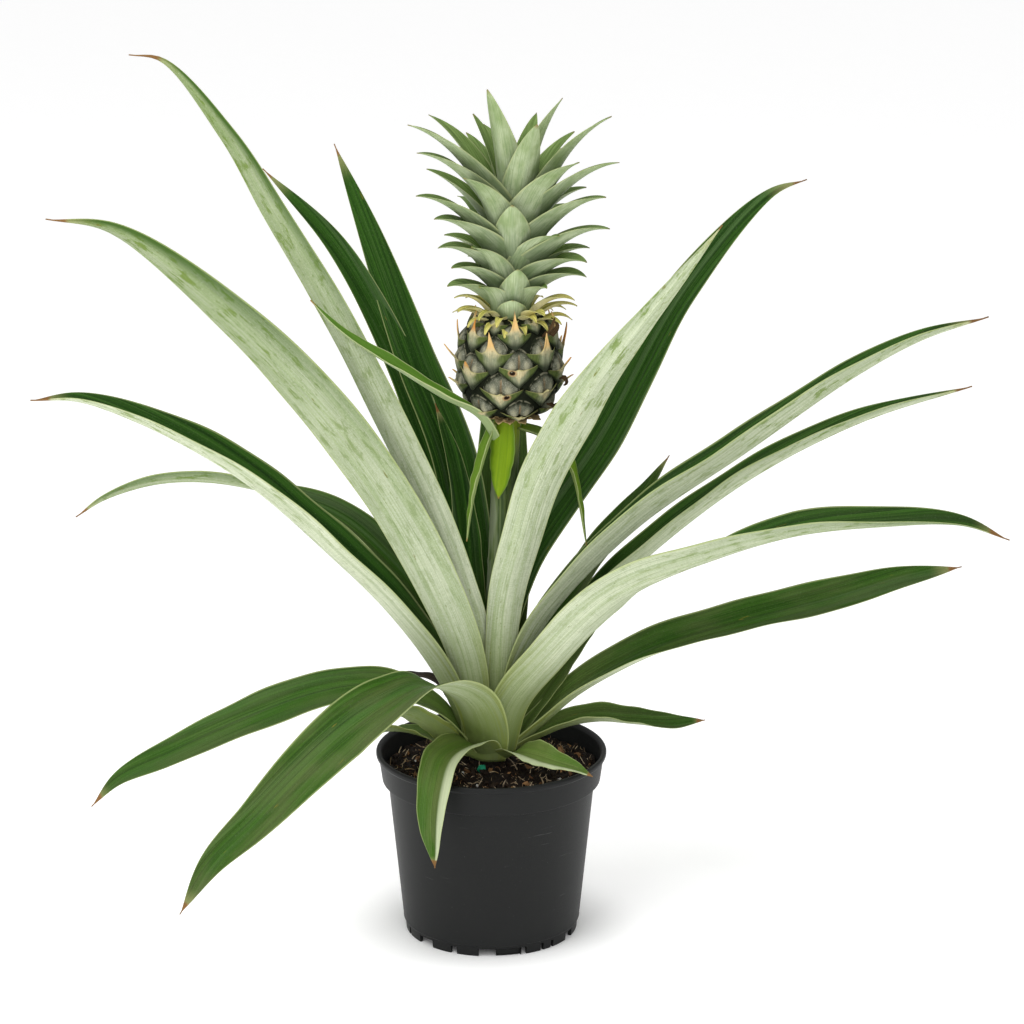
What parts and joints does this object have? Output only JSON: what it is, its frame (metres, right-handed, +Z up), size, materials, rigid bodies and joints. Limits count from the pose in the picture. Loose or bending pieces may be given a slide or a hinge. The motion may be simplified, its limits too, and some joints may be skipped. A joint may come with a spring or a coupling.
{
  "type": "potted pineapple plant",
  "caption": "Potted pineapple plant: a round tapered nursery pot filled with soil, long arching strap leaves, and a small spiny fruit with a leafy crown on an upright stalk.",
  "frame": {"origin": "on the surface the pot stands on, under the middle of the whole plant's bounding box", "axes": "+X to the right along the longest spread of the leaves, +Y towards the back, +Z up. The pot's axis is vertical, about 15 mm to -X and 28 mm to -Y of the origin"},
  "size_m": [0.5012, 0.2436, 0.4851],
  "materials": {
    "pot_plastic": "matte black injection-moulded plastic",
    "peat": "moist peat with bark chips and perlite",
    "stem": "dull, fibrous",
    "leaf": "satin, with a grey bloom below",
    "stalk": "satin, with grey scurf",
    "bract": "satin",
    "fruit": "matte, with a grey bloom",
    "crown": "satin, with a grey bloom"
  },
  "bodies": {
    "root": {"bract_front": "bract", "bract_left_hanging": "bract", "bract_long_left": "bract", "bract_right_curled": "bract", "crown_core": "crown", "crown_leaves_01": "crown", "crown_leaves_02": "crown", "crown_leaves_03": "crown", "crown_leaves_04": "crown", "crown_leaves_05": "crown", "crown_leaves_06": "crown", "crown_leaves_07": "crown", "crown_leaves_08": "crown", "crown_leaves_09": "crown", "crown_leaves_10": "crown", "crown_leaves_11": "crown", "crown_leaves_12": "crown", "crown_leaves_13": "crown", "crown_leaves_14": "crown", "fruit": "fruit", "fruit_stalk": "stalk", "leaf_back_left_narrow": "leaf", "leaf_back_left_upright": "leaf", "leaf_back_long": "leaf", "leaf_back_right_long": "leaf", "leaf_front_hanging": "leaf", "leaf_front_left_drooping": "leaf", "leaf_front_right_small": "leaf", "leaf_inner_short": "leaf", "leaf_left_back_arched": "leaf", "leaf_left_broad": "leaf", "leaf_left_drooping": "leaf", "leaf_left_folded": "leaf", "leaf_left_small": "leaf", "leaf_left_tall": "leaf", "leaf_left_torn": "leaf", "leaf_left_withered": "leaf", "leaf_right_arched": "leaf", "leaf_right_back_short": "leaf", "leaf_right_back_small": "leaf", "leaf_right_dark_upright": "leaf", "leaf_right_low": "leaf", "leaf_right_middle_folded": "leaf", "leaf_right_pale_upright": "leaf", "leaf_right_short": "leaf", "leaf_right_upper_folded": "leaf", "pot": "pot_plastic", "soil": "peat", "stem": "stem"}
  },
  "joints": []
}
